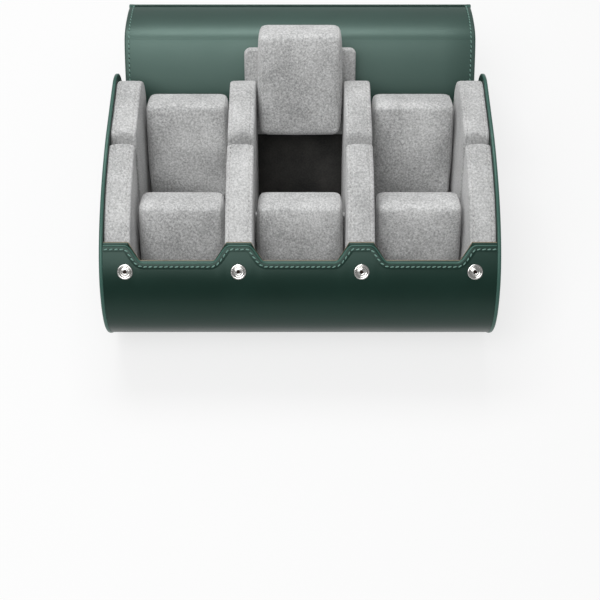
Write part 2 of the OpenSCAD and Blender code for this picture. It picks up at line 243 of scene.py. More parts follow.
# The bays' floor, back wall and rest share a near-black suede: partly a dark lining, partly painted shade
# of the deep bays.
dark_lining = suede("dark_lining", (0.018, 0.019, 0.018), (0.060, 0.057, 0.053), 0.6)
foam = suede("foam", (0.58, 0.53, 0.38), (0.76, 0.70, 0.52))
board = suede("board", (0.20, 0.155, 0.10), (0.32, 0.26, 0.18))
print("suedes:", divider_suede.name, cushion_suede.name, dark_lining.name)

# %% [markdown]
# ## Metal
#
# The snaps are polished nickel: a mirror with faint wear that softens it in places.

# %% Mix the nickel
def metal(name, colour, rough):
    finish = Finish(name)
    finish.set(Base_Color=(*colour, 1), Metallic=1.0,
               Roughness=finish.cloud(finish.place((1, 1, 1)), 0.9) * 0.10 + rough)
    return finish.material


nickel = metal("nickel", (0.74, 0.73, 0.71), 0.08)
# Near-black metal for the bore of each hollow post: painted shade down the narrow hole.
bore_shade_nickel = metal("bore_shade_nickel", (0.030, 0.022, 0.018), 0.45)
print("metals:", nickel.name, bore_shade_nickel.name)

# %% [markdown]
# ## Finishes on the frame
#
# Every part of the frame is named after what it is on the real case, so the start of
# its name picks its material. One table keeps the choices together.

# %% Give every frame node its finish
NODE_FINISH = {
    "outer_leather": case_leather, "end_panel": case_leather, "edge_binding": edge_leather,
    "lid_leather": lid_leather, "lid_lining": lid_leather, "fold_strip": lid_leather,
    "shell_board": board, "lid_board": board, "front_lining": divider_suede,
    "back_lining": dark_lining, "tray_floor": dark_lining, "back_rest": dark_lining,
    "divider": divider_suede, "cushion": cushion_suede, "plate": divider_suede,
    "core": foam, "snap": nickel, "stud_rivets": nickel,
}
for name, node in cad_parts.items():
    key = max((k for k in NODE_FINISH if name.startswith(k)), key=len)
    node.data.materials.clear()
    node.data.materials.append(NODE_FINISH[key])
print("finished", len(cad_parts), "nodes")

# %% [markdown]
# ## Side outline
#
# The case is one curved outline drawn out across its width, and every layer is that
# outline drawn in a little. These are the same formulas that the frame was made with,
# in millimetres. Distances `y` here run back from the front bulge.

# %% Write the outline as formulas
CASE_W, CASE_D, CASE_H = 230, 160, 98
CHIN_R, CROWN_Y, BROW_N = 44, 100, 2.16
NAPE_R, CROWN_DROP, HEEL_R = 20, 2.5, 8
FRONT_INSET, END_T, FLOOR_Z = 3.4, 2.0, 5.0
FRONT_FILL, FILL_FROM, FILL_TO, RIM_INSET = 2.8, 34, 64, 2.8
PANEL_STEPS, HEEL_STEPS, BROW_STOP = 48, 6, 176
INNER_W = CASE_W - 2 * END_T
LID_W = INNER_W - 1
BAY_W, DIVIDER_W = 54.5, 16
PITCH = BAY_W + DIVIDER_W
NAPE = np.array([CASE_D - NAPE_R, CASE_H - CROWN_DROP - NAPE_R])
TOP_SLOPE = math.degrees(math.atan2(CROWN_DROP, NAPE[0] - CROWN_Y))


def heading(degrees):
    """Unit step, so many degrees up from straight back."""
    return np.array([math.cos(math.radians(degrees)), math.sin(math.radians(degrees))])


def quarter(centre, a, b, power, start, end, steps):
    t = np.radians(np.linspace(start, end, int(steps) + 1))
    c, s = np.cos(t), np.sin(t)
    return np.c_[centre[0] + a * np.sign(c) * np.abs(c) ** (2 / power),
                 centre[1] + b * np.sign(s) * np.abs(s) ** (2 / power)]


def eased(t):
    t = np.clip(t, 0, 1)
    return t * t * (3 - 2 * t)


def filled(points, front):
    """A front curve moved out below the lid's edge, where the front fills out."""
    low = 1 - eased((points[:, 1] - FILL_FROM) / (FILL_TO - FILL_FROM))
    out = points.copy()
    out[:, 0] -= FRONT_FILL * low * np.maximum(0, CHIN_R - points[:, 0]) / (CHIN_R - front)
    return out


def outline(front, top, bottom, back, steps=24):
    """The whole side view, drawn in by a distance of its own on each side."""
    chin = quarter((CHIN_R, CHIN_R), CHIN_R - front, CHIN_R - bottom, 2, 180, 270, steps)
    a, b = CROWN_Y - front, CASE_H - CHIN_R - top
    upper = quarter((CROWN_Y, CHIN_R), a, b, BROW_N, 90, BROW_STOP, steps)
    return np.vstack([
        filled(chin, front),
        quarter((CASE_D - HEEL_R, HEEL_R), HEEL_R - back, HEEL_R - bottom, 2, 270, 360, HEEL_STEPS),
        quarter(NAPE, NAPE_R - back, NAPE_R - top, 2, 0, 90 - TOP_SLOPE, steps // 2),
        filled(upper, front)])


def panel_outline(inset):
    """Outline of an end panel, drawn in evenly from its rim."""
    return outline(RIM_INSET + inset, RIM_INSET + inset, inset, inset, PANEL_STEPS)


def brow(z, inset):
    """Depth of the upper front curve at height z, and its outward direction there."""
    a, b = CROWN_Y - inset, CASE_H - CHIN_R - inset
    v = (z - CHIN_R) / b
    u = (1 - v ** BROW_N) ** (1 / BROW_N)
    out = np.array([-u ** (BROW_N - 1) / a, v ** (BROW_N - 1) / b])
    return CROWN_Y - a * u, out / np.linalg.norm(out)


print("outline of", len(outline(0, 0, 0, 0)), "points")

# %% [markdown]
# ## Mesh helpers
#
# A piece is a list of rings joined into a skin. Thread is laid along a path as short
# separate stitches, each a little arched bead with its ends in the leather.

# %% Build meshes from rings and paths
def across(x, flat):
    """Side-view points (y, z) as points in space, at one x."""
    flat = np.atleast_2d(flat)
    return np.c_[np.broadcast_to(x, len(flat)), flat[:, 0] - CASE_D / 2, flat[:, 1]]


def skin(rings, closed=False):
    """Points and faces of a skin over rings that all have as many points."""
    n, count = len(rings[0]), len(rings)
    faces = [(r * n + i, r * n + (i + 1) % n, (r + 1) % count * n + (i + 1) % n, (r + 1) % count * n + i)
             for r in range(count if closed else count - 1) for i in range(n)]
    if not closed:
        faces += [tuple(range(n))[::-1], tuple((count - 1) * n + i for i in range(n))]
    return np.vstack(rings), faces


def join(parts):
    """Several (points, faces) as one."""
    points, faces, base = [], [], 0
    for part_points, part_faces in parts:
        points.append(part_points)
        faces += [tuple(base + i for i in face) for face in part_faces]
        base += len(part_points)
    return np.vstack(points), faces


def piece(name, parts, materials, body=None, replaces=(), sharp=50):
    """One object from (points, faces) parts, each with its own material."""
    materials = materials if isinstance(materials, list) else [materials]
    points, faces = join(parts)
    mesh = bpy.data.meshes.new(name)
    mesh.from_pydata((points * MM).tolist(), [], faces)
    for material in materials:
        mesh.materials.append(material)
    start = 0
    for slot, (_, part_faces) in enumerate(parts):
        for polygon in mesh.polygons[start:start + len(part_faces)]:
            polygon.material_index = min(slot, len(materials) - 1)
        start += len(part_faces)
    shape = bmesh.new()
    shape.from_mesh(mesh)
    bmesh.ops.recalc_face_normals(shape, faces=shape.faces)
    for edge in shape.edges:
        edge.smooth = len(edge.link_faces) < 2 or edge.calc_face_angle(0) < math.radians(sharp)
    for face in shape.faces:
        face.smooth = True
    shape.to_mesh(mesh)
    shape.free()
    made = bpy.data.objects.new(name, mesh)
    bpy.context.scene.collection.objects.link(made)
    if body:
        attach(made, body)
    if replaces:
        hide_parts(*replaces)
    return made


def unit(v):
    return v / np.maximum(np.linalg.norm(v, axis=-1, keepdims=True), 1e-9)


def tangents(path, closed=False):
    if closed:
        return unit(np.roll(path, -1, 0) - np.roll(path, 1, 0))
    return unit(np.gradient(path, axis=0))


def resample(path, values, step):
    """Evenly spaced points on a path, with values carried along; they start half a step in."""
    lengths = np.r_[0, np.cumsum(np.linalg.norm(np.diff(path, axis=0), axis=1))]
    count = max(1, round(lengths[-1] / step))
    at = (np.arange(count) + 0.5) * lengths[-1] / count
    carry = lambda rows: np.stack([np.interp(at, lengths, column) for column in rows.T], 1)
    return carry(path), unit(carry(values))


def rounded(corners, cut, steps=5):
    """A path with each inner corner replaced by a curve that starts `cut` away from it."""
    corners = np.asarray(corners, float)
    path = [corners[0]]
    for before, corner, after in zip(corners, corners[1:], corners[2:]):
        start = corner + unit(before - corner) * min(cut, np.linalg.norm(before - corner) / 2)
        end = corner + unit(after - corner) * min(cut, np.linalg.norm(after - corner) / 2)
        for t in np.linspace(0, 1, steps):
            path.append((1 - t) ** 2 * start + 2 * t * (1 - t) * corner + t * t * end)
    return np.array(path + [corners[-1]])


def divided(path, step):
    """The same path with points added, so that none are further apart than `step`."""
    out = [path[0]]
    for a, b in zip(path, path[1:]):
        parts = max(1, math.ceil(np.linalg.norm(b - a) / step))
        out += [a + (b - a) * k / parts for k in range(1, parts + 1)]
    return np.array(out)


STITCH_PITCH, STITCH_SHARE, THREAD_R, NEEDLE_R = 3.0, 0.74, 0.36, 0.40
STITCH_SLANT = math.radians(14)
STITCH_ARCH, STITCH_SUNK, THIN_END = 0.7, 0.25, 0.35
HOLE_RINGS = ((1.0, -0.06), (0.8, 0.03), (0.3, 0.05))


def stitches(path, up, thread_r=THREAD_R, pitch=STITCH_PITCH):
    """Arched, slightly slanting stitches along a path on a surface that faces `up`."""
    places, ups = resample(path, up, pitch)
    alongs = tangents(places)
    rings = np.linspace(-1, 1, 5)
    parts = []
    for place, along, out in zip(places, alongs, ups):
        across_line = unit(np.cross(out, along))
        run = along * math.cos(STITCH_SLANT) + across_line * math.sin(STITCH_SLANT)
        side = unit(np.cross(out, run))
        loops = []
        for t in rings:
            arch = thread_r * (STITCH_ARCH * (1 - t * t) - STITCH_SUNK)
            r = thread_r * max(THIN_END, math.sqrt(max(0, 1 - t ** 4)))
            loops.append([place + run * t * pitch * STITCH_SHARE / 2 + out * arch
                          + side * r * math.cos(a) + out * r * math.sin(a)
                          for a in np.radians(range(0, 360, 60))])
        parts.append(skin([np.array(loop) for loop in loops]))
    return join(parts)


def needle_holes(path, up, r=NEEDLE_R):
    """The needle hole between each stitch and the next: a low dome with its rim sunk, coloured dark as
    painted shade.
    """
    places, ups = resample(path, up, STITCH_PITCH)
    parts = []
    for place, nearby, out in zip(places, places[1:], ups):
        middle = (place + nearby) / 2
        ahead = unit(nearby - place)
        side = unit(np.cross(out, ahead))
        rings = [[middle + out * h + (ahead * math.cos(a) + side * math.sin(a)) * r * wide
                  for a in np.radians(range(0, 360, 45))] for wide, h in HOLE_RINGS]
        parts.append(skin([np.array(ring) for ring in rings]))
    return join(parts)


def strip_along(path, up, out, section, closed=False):
    """A section of (depth, rise) points swept along a path: depth against `up`, rise along `out`."""
    rings = [np.array([p - u * depth + o * rise for depth, rise in section])
             for p, u, o in zip(path, up, out)]
    return skin(rings, closed)


print("mesh helpers ready")

# %% [markdown]
# ## Turned edges
#
# Leather is pared thin, folded over the edge of the board and sewn down close to the
# fold. The front edge steps up in a tab over each divider, and a paler strip along the
# very top of the fold is a painted highlight.

# %% Turn the front edge
EDGE_Z, TAB_Z, TAB_TOP, TAB_FOOT = 75.4, 80.6, 14, 28
TURN_SECTION = [(-0.12, -3.6), (-0.32, -2.8), (-0.36, -1.0), (-0.30, -0.1), (0.1, 0.38), (0.9, 0.62),
                (1.9, 0.62), (2.7, 0.38), (3.1, -0.2), (3.15, -2.6), (2.6, -3.2), (1.4, -3.4)]
# A thin pale strip on the very top of the fold, in the paler hide: painted highlight.
HIGHLIGHT_SECTION = [(-0.34, -0.25), (-0.26, 0.12), (0.1, 0.44), (0.9, 0.68), (1.9, 0.68), (2.5, 0.44),
                 (1.4, 0.2)]
EDGE_SEAM_IN, EDGE_SEAM_OUT = 2.2, 0.34


def front_edge_corners():
    corners = []
    for tab in range(4):
        middle = (tab - 1.5) * PITCH
        left, right = (-DIVIDER_W if tab == 0 else 0), (DIVIDER_W if tab == 3 else 0)
        corners += [(middle - TAB_FOOT / 2 + left, EDGE_Z), (middle - TAB_TOP / 2 + left, TAB_Z),
                    (middle + TAB_TOP / 2 + right, TAB_Z), (middle + TAB_FOOT / 2 + right, EDGE_Z)]
    return corners


end_x = INNER_W / 2 - 0.3
inner_corners = [c for c in front_edge_corners() if abs(c[0]) < end_x]
edge_flat = divided(rounded([(-end_x, TAB_Z), *inner_corners, (end_x, TAB_Z)], 2.2), 1.5)


def on_panel(flat, inset):
    """Points (x, z) put on the front panel, with the panel's outward directions."""
    path, up = [], []
    for x, z in flat:
        depth, out = brow(z, inset)
        path.append(across(x, (depth, z))[0])
        up.append((0, *out))
    return np.array(path), np.array(up)


edge_path, edge_up = on_panel(edge_flat, FRONT_INSET)
edge_out = unit(np.cross(edge_up, tangents(edge_path)))
edge_seam = edge_path - edge_out * EDGE_SEAM_IN + edge_up * EDGE_SEAM_OUT
turned_front = piece("front_turned_edge", [
    strip_along(edge_path, edge_up, edge_out, TURN_SECTION),
    stitches(edge_seam, edge_up), needle_holes(edge_seam, edge_up),
    strip_along(edge_path, edge_up, edge_out, HIGHLIGHT_SECTION)],
    [case_leather, thread_green, needle_shade_green, edge_leather], "case")
print("front edge:", len(edge_path), "points")

# %% [markdown]
# ## Bound rims
#
# A leather strip is rolled over the rim of each end panel, and a row of stitches runs
# round the panel inside it.

# %% Bind the rims
BIND_SECTION = [(0.05, -2.4), (0.0, -0.7), (0.25, -0.15), (0.7, 0.0), (1.4, 0.0), (1.95, -0.2),
                (2.2, -0.75), (2.2, -2.0), (2.0, -2.5)]
rim = panel_outline(0)
rim = rim[np.r_[True, np.linalg.norm(np.diff(rim, axis=0), axis=1) > 1e-6]]
if np.linalg.norm(rim[0] - rim[-1]) < 1e-6:
    rim = rim[:-1]
rim = divided(np.vstack([rim, rim[:1]]), 3.0)[:-1]


def bound_rim(name, side):
    path = across(side * INNER_W / 2, rim)
    along = tangents(path, closed=True)
    out = unit(np.cross(along, (1.0, 0, 0)))
    inward = np.tile((-side * 1.0, 0, 0), (len(path), 1))
    seam = across(side * (CASE_W / 2), panel_outline(5))
    seam = np.vstack([seam, seam[:1]])
    seam_up = np.tile((side * 1.0, 0, 0), (len(seam), 1))
    return piece(name, [
        # The rolled strip's pale hide is painted highlight on the rim.
        strip_along(path, inward, out, BIND_SECTION, closed=True),
        stitches(seam, seam_up), needle_holes(seam, seam_up)],
        [edge_leather, thread_green, needle_shade_green], "case", [f"edge_binding_{name.split('_')[-1]}"])


for label, side in (("left", -1), ("right", 1)):
    bound_rim(f"bound_rim_{label}", side)
print("rims bound")

# %% [markdown]
# ## Fold of the lid
#
# The leather between the back wall and the lid is one supple sheet. The frame has four
# fold lines with a flat strip between each two. Here four curved stretches follow one
# another, from the back wall by the middle of each strip to the lid. Cloth could fall
# into the same fold, but it would have to be worked out again for every opening of the lid.

# %% Curve the fold
WALL_H, FOLD_INSET, FOLD_TURN, TOP_STRIP = 53, 1.6, 44, 30
FOLD_R = NAPE_R - FOLD_INSET
OPEN_HEADINGS = (48, 30, -15)
LID_OPEN = -62
shut_lines = [np.array([CASE_D - FOLD_INSET, WALL_H + 1]), NAPE + FOLD_R * heading(FOLD_TURN),
              NAPE + FOLD_R * heading(90 - TOP_SLOPE)]
shut_lines.append(shut_lines[-1] + TOP_STRIP * heading(180 - TOP_SLOPE))
fold_lines = [shut_lines[0]]
for a, b, turn in zip(shut_lines, shut_lines[1:], OPEN_HEADINGS):
    fold_lines.append(fold_lines[-1] + np.linalg.norm(b - a) * heading(turn))
middles = [(a + b) / 2 for a, b in zip(fold_lines, fold_lines[1:])]
WALL_RUN, LID_RUN, HIDE_RUN = 4, 6, 4.0
ends = [fold_lines[0] - (0, WALL_RUN), *middles, fold_lines[-1] + LID_RUN * heading(LID_OPEN)]
SHEET_T, CURVE_POINTS, FOLD_SEAM_IN = 2.4, 25, 3


def fold_stretch(index):
    """Centre line of one stretch. The last one runs a little further, onto the lid."""
    start, corner, end = ends[index], fold_lines[index], ends[index + 1]
    t = np.linspace(0, 1, CURVE_POINTS)[:, None]
    curve = (1 - t) ** 2 * start + 2 * t * (1 - t) * corner + t * t * end
    if index == 3:
        curve = np.vstack([curve, end + HIDE_RUN * heading(LID_OPEN)])
    return curve


def sheet_section(width, thick):
    """Flat closed section with rounded edges, as (across, height) points."""
    r = thick / 2
    right = [(width / 2 - r + r * math.cos(a), r * math.sin(a)) for a in np.radians(range(-90, 91, 30))]
    flat = np.linspace(width / 2 - r, -width / 2 + r, 12)[1:-1]
    left = [(-x, -z) for x, z in right]
    return right + [(x, r) for x in flat] + left + [(-x, -r) for x in flat]


section = sheet_section(LID_W, SHEET_T)
for index in range(4):
    curve = fold_stretch(index)
    along = tangents(curve)
    up = np.c_[-along[:, 1], along[:, 0]]
    rings = [np.array([across(x, p + u * h)[0] for x, h in section]) for p, u in zip(curve, up)]
    seams, holes = [], []
    for side in (-1, 1):
        top = (curve + up * (SHEET_T / 2 + 0.02))[:CURVE_POINTS]
        line = across(side * (LID_W / 2 - FOLD_SEAM_IN), top)
        line_up = np.c_[np.zeros(CURVE_POINTS), up[:CURVE_POINTS]]
        seams.append(stitches(line, line_up))
        holes.append(needle_holes(line, line_up, r=0.5))
    stretch = piece(f"fold_leather_{index + 1}", [skin(rings), join(seams), join(holes)],
                    [lid_leather, thread_green, needle_shade_green])
    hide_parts(*([f"fold_strip_{index + 1}"] if index < 3 else []))
    (across(0, ends[index])[0] * MM).tolist()
    (across(0, ends[index + 1])[0] * MM).tolist()
    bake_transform(stretch)
print("fold lines at", [f.round(1).tolist() for f in fold_lines])

# %% [markdown]
# ## Lid
#
# The lid's three free edges are turned and sewn like the front edge. They are drawn
# with the lid shut, where its shape is simple, and then swung to where it lies open.

# %% Turn the lid's edges
LID_INSET, LID_EDGE_Z, LID_CORNER_R, LID_CLEAR = 0.2, 64.5, 10, 0.9
LID_SEAM_IN, LID_SEAM_OUT = 3, 0.05
LID_SECTION = [(-0.10, -3.4), (-0.16, -2.4), (-0.12, -0.3), (0.2, 0.22), (1.3, 0.34), (2.3, 0.24),
               (2.75, -0.2), (2.75, -2.4), (2.4, -3.0), (1.2, -3.2)]


def opened(points):
    """Points of the shut lid, swung back to where the lid lies open."""
    turn = np.radians(LID_OPEN - 180)
    c, s = math.cos(turn), math.sin(turn)
    pivot, target = across(0, shut_lines[-1])[0], across(0, fold_lines[-1])[0]
    y, z = points[:, 1] - pivot[1], points[:, 2] - pivot[2]
    return np.c_[points[:, 0], target[1] + y * c - z * s, target[2] + y * s + z * c]


def turned_only(directions):
    """Directions swung with the lid."""
    origin = np.zeros((1, 3))
    return opened(directions) - opened(origin)


def lid_side(inset):
    """Side of the lid in side view, from the last fold line to the round corner."""
    top = shut_lines[-1][0] - LID_CLEAR
    b = CASE_H - CHIN_R - inset
    corner_z = LID_EDGE_Z + LID_CORNER_R
    stop = math.degrees(math.asin(((corner_z - CHIN_R) / b) ** (BROW_N / 2)))
    t = np.radians(np.linspace(90, stop, 30))
    curve = np.c_[CROWN_Y - (CROWN_Y - inset) * np.cos(t) ** (2 / BROW_N),
                  CHIN_R + b * np.sin(t) ** (2 / BROW_N)]
    start = (top, CASE_H - inset - (top - CROWN_Y) * math.tan(math.radians(TOP_SLOPE)))
    return divided(np.vstack([start, curve]), 3.0)


def lid_border(margin):
    """Path round the lid's free edges, drawn in by a margin, with outward directions."""
    half, r = LID_W / 2 - margin, LID_CORNER_R - margin
    low = LID_EDGE_Z + margin
    side = lid_side(LID_INSET)
    left = across(-half, side)
    bend = [(-half + r - r * math.cos(a), low + r - r * math.sin(a)) for a in np.radians(range(6, 91, 12))]
    front = [(x, low) for x in np.linspace(-half + r, half - r, 60)[1:-1]]
    flat = bend + front + [(-x, z) for x, z in bend[::-1]]
    middle = on_panel(flat, LID_INSET)[0]
    path = np.vstack([left, middle, across(half, side)[::-1]])
    up = []
    for y, z in path[:, 1:]:
        if y + CASE_D / 2 > CROWN_Y - 1:
            up.append((0, *heading(90 - TOP_SLOPE)))
        else:
            up.append((0, *brow(z, LID_INSET)[1]))
    return path, np.array(up)


border, border_up = lid_border(0)
border_out = unit(np.cross(tangents(border), border_up))
seam, seam_up = lid_border(LID_SEAM_IN)
lid_seam, lid_seam_up = opened(seam + seam_up * LID_SEAM_OUT), turned_only(seam_up)
turned_lid = piece("lid_turned_edge", [
    strip_along(opened(border), turned_only(border_up), turned_only(border_out), LID_SECTION),
    stitches(lid_seam, lid_seam_up), needle_holes(lid_seam, lid_seam_up)],
    [edge_leather, thread_green, needle_shade_green], "lid")
print("lid border:", len(border), "points")

# %% [markdown]
# ## Smooth hides
#
# The frame draws the two large hides with flat facets. Here each is laid again over
# the same curve, in columns that run from edge to edge, and keeps its thickness.

# %% Lay the hides
LEATHER_T, BACK_INSET = 1.0, 0.5


def brow_run(inset, z_from, z_to, steps=44):
    """The upper front curve between two heights."""
    a, b = CROWN_Y - inset, CASE_H - CHIN_R - inset
    start, stop = (math.asin(min(1, (z - CHIN_R) / b) ** (BROW_N / 2)) for z in (z_from, z_to))
    t = np.linspace(start, stop, steps)
    return np.c_[CROWN_Y - a * np.abs(np.cos(t)) ** (2 / BROW_N), CHIN_R + b * np.sin(t) ** (2 / BROW_N)]


def body_column(x, t):
    """From the front edge down round the bulge and up the back wall, at depth t."""
    front, back = FRONT_INSET + t, BACK_INSET + t
    corners = np.array(front_edge_corners())
    z_top = np.interp(x, corners[:, 0], corners[:, 1])
    chin = quarter((CHIN_R, CHIN_R), CHIN_R - front, CHIN_R - t, 2, 180, 270, 48)
    heel = quarter((CASE_D - HEEL_R, HEEL_R), HEEL_R - back, HEEL_R - t, 2, 270, 360, 10)
    return np.vstack([filled(brow_run(front, z_top, CHIN_R + 0.5), front),
                      filled(chin, front), heel, [(CASE_D - back, WALL_H)]])


def lid_column(x, t):
    """From the last fold line over the crown and down to the lid's front edge, at depth t."""
    inset, r = LID_INSET + t, LID_CORNER_R
    past = max(0, abs(x) - (LID_W / 2 - r))
    z_low = LID_EDGE_Z + r - math.sqrt(max(0, r * r - past * past))
    top = shut_lines[-1][0] - LID_CLEAR
    start = (top, CASE_H - inset - (top - CROWN_Y) * math.tan(math.radians(TOP_SLOPE)))
    return np.vstack([[start], brow_run(inset, CASE_H - inset, z_low)])


def hide(name, xs, column, body, node, finish, place=lambda points: points):
    rings = [place(across(x, np.vstack([column(x, 0), column(x, LEATHER_T)[::-1]]))) for x in xs]
    return piece(name, [skin(rings)], finish, body, [node], sharp=35)


body_xs = np.unique(np.r_[np.linspace(-INNER_W / 2, INNER_W / 2, 46), [c[0] for c in inner_corners]])
hide("smooth_case_hide", body_xs, body_column, "case", "outer_leather", case_leather)
bend_xs = LID_W / 2 - LID_CORNER_R * (1 - np.sin(np.radians(np.arange(0, 91, 10))))
lid_xs = np.r_[-bend_xs[::-1], np.linspace(-bend_xs[0], bend_xs[0], 30)[1:-1], bend_xs]
hide("smooth_lid_hide", lid_xs, lid_column, "lid", "lid_leather", lid_leather, opened)
print("hides laid:", len(body_xs), "and", len(lid_xs), "columns")

# %% [markdown]
# ## Snap studs
#
# Each stud is stamped nickel: a rolled rim, a shallow dish and a hollow post.

# %% Turn the studs
SNAP_XS, SNAP_Z, STUD_SIDES = (-100.3, -35.3, 35.3, 100.3), 72.3, 36
STUD_PROFILE = [(4.30, -0.1), (4.48, 0.12), (4.45, 0.42), (4.20, 0.66), (3.85, 0.72), (3.50, 0.62),
                (3.28, 0.38), (3.12, 0.06), (2.30, 0.03), (2.02, 0.15), (1.90, 0.60), (1.86, 0.86),
                (1.68, 1.00), (1.35, 1.00), (1.10, 0.88)]
BORE_PROFILE = [(1.10, 0.88), (0.98, 0.60), (0.90, 0.12), (0.0, 0.10)]


def turned(x, profile):
    """A stud's profile of (radius, height) spun on the front panel at x."""
    depth, out = brow(SNAP_Z, FRONT_INSET)
    centre = across(x, (depth, SNAP_Z))[0]
    up = np.array([0, *out])
    ahead = np.array([1.0, 0, 0])
    side = np.cross(up, ahead)
    return [np.array([centre + up * h + (ahead * math.cos(a) + side * math.sin(a)) * max(r, 0.01)
                      for a in np.radians(range(0, 360, 360 // STUD_SIDES))]) for r, h in profile]


studs = [skin(turned(x, STUD_PROFILE + BORE_PROFILE[1:])) for x in SNAP_XS]
stud_piece = piece("stamped_studs", studs, [nickel], "case", ["snap_studs"], sharp=75)
# The bore inside each post takes the dark metal, as painted shade.
stud_piece.data.materials.append(bore_shade_nickel)
bore_start = STUD_SIDES * (len(STUD_PROFILE) - 1)
bore_end = bore_start + STUD_SIDES * (len(BORE_PROFILE) - 1)
for polygon in stud_piece.data.polygons:
    place = polygon.index % (len(stud_piece.data.polygons) // len(SNAP_XS))
    polygon.material_index = int(bore_start <= place < bore_end)
print("studs:", len(SNAP_XS))

# %% [markdown]
# ## Padded dividers
#
# A divider is a padded block under suede, fuller in the middle than at its edges, with
# a sewn seam along both top edges. A sloping slot lets the base plates slide in. Cloth
# blown up over a block would round the slot away, so its side view is drawn again for
# each slice across it, further in towards the faces and dipping at the seams.

# %% Pad the dividers
FRONT_ROW, BACK_ROW, TILT, SLOT_T = np.array([85.2, 71.0]), np.array([159.2, 75.2]), 60, 6.4
DIVIDER_INSET, DIVIDER_BACK = 6.4, 7.0
DIVIDER_RISE, RISE_FROM, RISE_TO = 1.4, 34, 60
SLOPE_UP, SLOPE_OUT = heading(TILT), heading(TILT + 90)


def clipped(points, through, keep):
    """The part of a polygon on the side of a line that `keep` points to."""
    side = (points - through) @ keep
    out = []
    for i in range(len(points)):
        j = (i + 1) % len(points)
        if side[i] >= 0:
            out.append(points[i])
        if side[i] * side[j] < 0:
            out.append(points[i] + (points[j] - points[i]) * side[i] / (side[i] - side[j]))
    return np.array(out)


def evenly(points, count):
    """A closed polygon resampled evenly, from its lowest front corner on."""
    first = int(np.argmin(points @ np.array([1.0, 1.6])))
    loop = np.vstack([np.roll(points, -first, 0), points[first]])
    lengths = np.r_[0, np.cumsum(np.linalg.norm(np.diff(loop, axis=0), axis=1))]
    at = np.linspace(0, lengths[-1], count, endpoint=False)
    return np.stack([np.interp(at, lengths, loop[:, 0]), np.interp(at, lengths, loop[:, 1])], 1)


def divider_shape(draw, crown, front):
    """Side view of one block, drawn in at its edges and raised by its crown."""
    shape = outline(DIVIDER_INSET + draw / 2, DIVIDER_INSET + draw - crown, FLOOR_Z,
                    DIVIDER_BACK + draw / 2, steps=40)
    rise = DIVIDER_RISE * eased((shape[:, 0] - RISE_FROM) / (RISE_TO - RISE_FROM))
    shape[:, 1] += np.where(shape[:, 1] > FLOOR_Z + 1, rise, 0)
    half = SLOT_T / 2 + draw * 0.6
    if front:
        return clipped(shape, FRONT_ROW + SLOPE_OUT * half, SLOPE_OUT)
    shape = clipped(shape, FRONT_ROW - SLOPE_OUT * half, -SLOPE_OUT)
    return clipped(shape, BACK_ROW + SLOPE_OUT * half, SLOPE_OUT)


SEAM_IN, SEAM_DEEP = 2.3, 0.42
WAVER_SCALE, WAVER, WAVER_ABOVE = 0.09, 0.28, 60


def divider_slices(width):
    """(place across, draw, crown) of each slice, from one face to the other."""
    side = [(0.0, 1.7), (0.08, 1.15), (0.3, 0.62), (0.7, 0.28), (1.2, 0.10), (SEAM_IN - 0.35, 0.05),
            (SEAM_IN, 0.04 + SEAM_DEEP), (SEAM_IN + 0.35, 0.04), (3.6, 0.0), (5.4, 0)]
    half = [(-width / 2 + x, draw, 0.55 * min(1, x / 5.4)) for x, draw in side]
    return half + [(0, 0, 0.6)] + [(-x, draw, crown) for x, draw, crown in half[::-1]]


def divider(name, middle, width, front):
    rings = []
    for x, draw, crown in divider_slices(width):
        ring = evenly(divider_shape(draw, crown, front), 120)
        rings.append(across(middle + x, ring))
    points, faces = skin(rings)
    for row in points:
        waver = noise.noise(Vector(row) * WAVER_SCALE) * WAVER
        row[2] += waver if row[2] > WAVER_ABOVE else 0
    seams, holes = [], []
    for side in (-1, 1):
        shape = divider_shape(0.2, 0.2, front)
        top = shape[shape[:, 1] > (66 if front else 70)]
        order = np.argsort(top[:, 0])
        line = divided(top[order], 2.0)
        line = line[(line[:, 1] > 70) | (line[:, 0] < 40)]
        path = across(middle + side * (width / 2 - SEAM_IN), line)
        along = tangents(path)
        up = unit(np.cross(along, (1.0, 0, 0)))
        up *= np.sign(up[:, 2:3])
        seams.append(stitches(path - up * 0.05, up, 0.26))
        holes.append(needle_holes(path - up * 0.25, up, r=0.45))
    number = name.replace("padded_", "")
    made = piece(name, [(points, faces), join(seams), join(holes)],
                 [divider_suede, thread_grey, needle_shade_grey], "case", [number])
    return made


outer_w = (INNER_W - 3 * BAY_W - 2 * DIVIDER_W) / 2
for number in range(1, 5):
    edge = number in (1, 4)
    width = outer_w if edge else DIVIDER_W
    middle = (number - 2.5) * PITCH
    if edge:
        middle = math.copysign((INNER_W - outer_w) / 2, middle)
    for row in ("front", "back"):
        divider(f"padded_divider_{row}_{number}", middle, width, row == "front")
print("dividers padded")

# %% [markdown]
# ## Base plates
#
# Each cushion is sewn to a flat winged plate wrapped in suede. The wings run in the
# slots between the dividers. A plate could be a box with a bevel; here it is a few
# outlines stacked along half a circle, which rounds the wrapped edge all the way.

# %% Wrap the plates
PLATE_W, PLATE_T, PLATE_TOP, PLATE_R, LIFT = 70, 5.4, -22.3, 4.0, 44


def on_slope(row, bay, lift, points):
    """Points (across, up the slope, out of the slope) put in their place in a bay."""
    base = row + SLOPE_UP * lift
    flat = base + np.outer(points[:, 1], SLOPE_UP) + np.outer(points[:, 2], SLOPE_OUT)
    return across((bay - 1) * PITCH + points[:, 0], flat)


